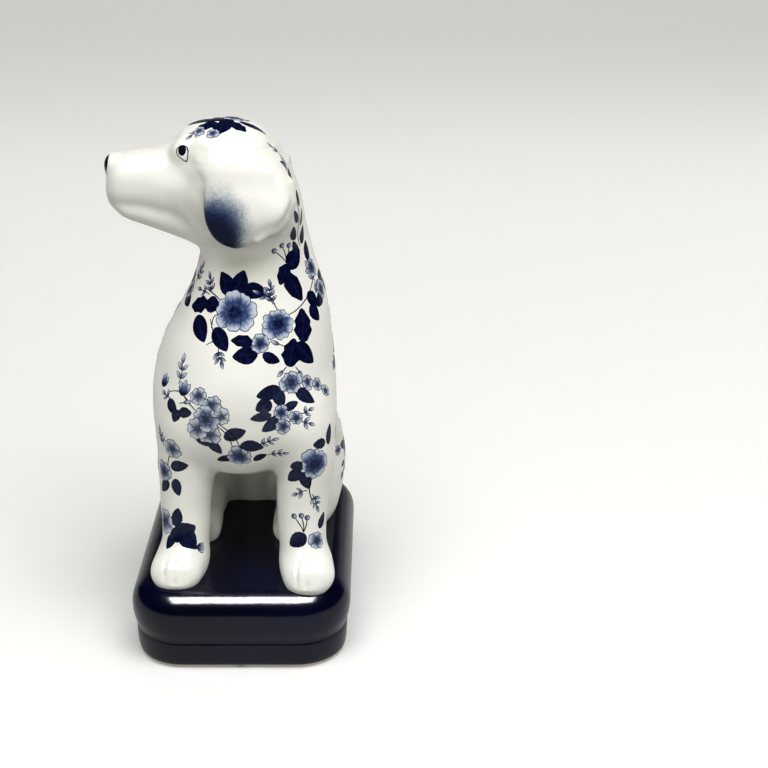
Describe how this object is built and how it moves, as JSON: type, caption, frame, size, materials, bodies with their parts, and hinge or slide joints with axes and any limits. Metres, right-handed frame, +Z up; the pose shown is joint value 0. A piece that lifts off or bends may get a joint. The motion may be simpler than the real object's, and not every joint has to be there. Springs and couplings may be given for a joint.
{
  "type": "ceramic dog figurine",
  "caption": "Seated glazed porcelain dog with pendant ears and a turned head on a cushion-shaped plinth, decorated with blue floral sprays.",
  "frame": {"origin": "bottom centre of the bounding box, on the plane that the felt pads stand on; the plinth's own middle is 3.4 mm towards +X, because the muzzle reaches out past the plinth on the -X side", "axes": "+Z up, -Y the way the dog's body and the plinth's short end face, -X the way the head is turned (the dog's own right), +X the dog's own left"},
  "size_m": [0.0968, 0.128, 0.2142],
  "materials": {
    "white_glaze": "high-gloss clear glaze over white porcelain, with cobalt-blue floral decoration under it",
    "cobalt_glaze": "high-gloss very dark cobalt-blue glaze, bare at the foot rim",
    "green_felt": "matt pressed wool felt"
  },
  "bodies": {
    "root": {"plinth_casting": "cobalt_glaze", "torso_casting": "white_glaze", "head_casting": "white_glaze", "left_ear": "white_glaze", "right_ear": "white_glaze", "left_foreleg": "white_glaze", "right_foreleg": "white_glaze", "left_haunch": "white_glaze", "right_haunch": "white_glaze", "left_hind_paw": "white_glaze", "right_hind_paw": "white_glaze", "tail": "white_glaze", "felt_pad_front": "green_felt", "felt_pad_back": "green_felt", "felt_pad_left": "green_felt", "felt_pad_right": "green_felt"}
  },
  "joints": []
}
